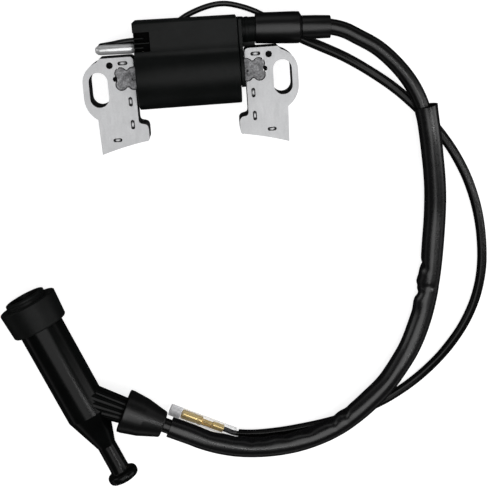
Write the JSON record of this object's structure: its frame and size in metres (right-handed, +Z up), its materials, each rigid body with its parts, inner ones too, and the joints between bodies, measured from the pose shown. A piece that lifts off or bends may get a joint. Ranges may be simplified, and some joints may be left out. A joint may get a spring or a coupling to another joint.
{
  "type": "ignition coil",
  "caption": "Small-engine ignition coil: potted housing on a laminated steel core with slotted mounting legs, high-tension lead with plug cap, and a stop lead.",
  "frame": {"origin": "under the middle of the coil (leads and cap apart), on the surface it lies on", "axes": "+X from the left leg to the right leg and the lead tower, +Y away from the pole faces, +Z up off the surface, along the mounting bolts"},
  "size_m": [0.2298, 0.2212, 0.0295],
  "materials": {
    "laminated_steel": "satin, fine grained",
    "core_end_steel": "rough, darker",
    "black_moulding": "satin",
    "resin": "smooth",
    "nylon": "matt",
    "enamelled_copper": "enamelled copper wire, satin",
    "circuit_board": "lacquered",
    "brass": "bright",
    "tin_plate": "bright tin plate",
    "black_rubber": "matt",
    "lead_jacket": "soft sheen",
    "black_vinyl": "glossy",
    "clear_vinyl": "clear, slightly cloudy",
    "ceramic_body": "matt",
    "spring_steel": "bright"
  },
  "bodies": {
    "coil": {"core_leg_right": "laminated_steel", "core_leg_left": "laminated_steel", "core_bar": "core_end_steel", "housing": "black_moulding", "tower_cover": "black_moulding", "epoxy_potting": "resin", "primary_bobbin": "nylon", "primary_winding": "enamelled_copper", "secondary_bobbin": "nylon", "secondary_winding": "enamelled_copper", "control_board": "circuit_board", "power_transistor": "black_moulding", "protection_diode": "black_moulding", "base_resistor": "black_moulding", "ground_strap": "brass", "tower_pin": "brass", "stop_terminal": "tin_plate", "tower_boot": "black_rubber", "lead_collar": "black_rubber", "ht_lead": "lead_jacket", "ht_lead_guard": "black_vinyl", "stop_lead": "lead_jacket", "stop_lead_guard": "black_vinyl", "bullet_socket": "brass", "clear_sleeve": "clear_vinyl"},
    "cap": {"cap_shell": "black_moulding", "cap_seal": "black_rubber", "inlet_boot": "black_rubber", "cap_resistor": "ceramic_body", "cap_spring": "spring_steel", "plug_terminal": "brass", "lead_screw": "brass"}
  },
  "joints": [
    {"name": "cap_swivel", "type": "hinge", "parent": "coil", "child": "cap", "pos_m": [-0.06495, -0.14134, 0.01647], "axis": [0.9051, -0.4234, 0.0386], "range_deg": [-60, 60]}
  ]
}
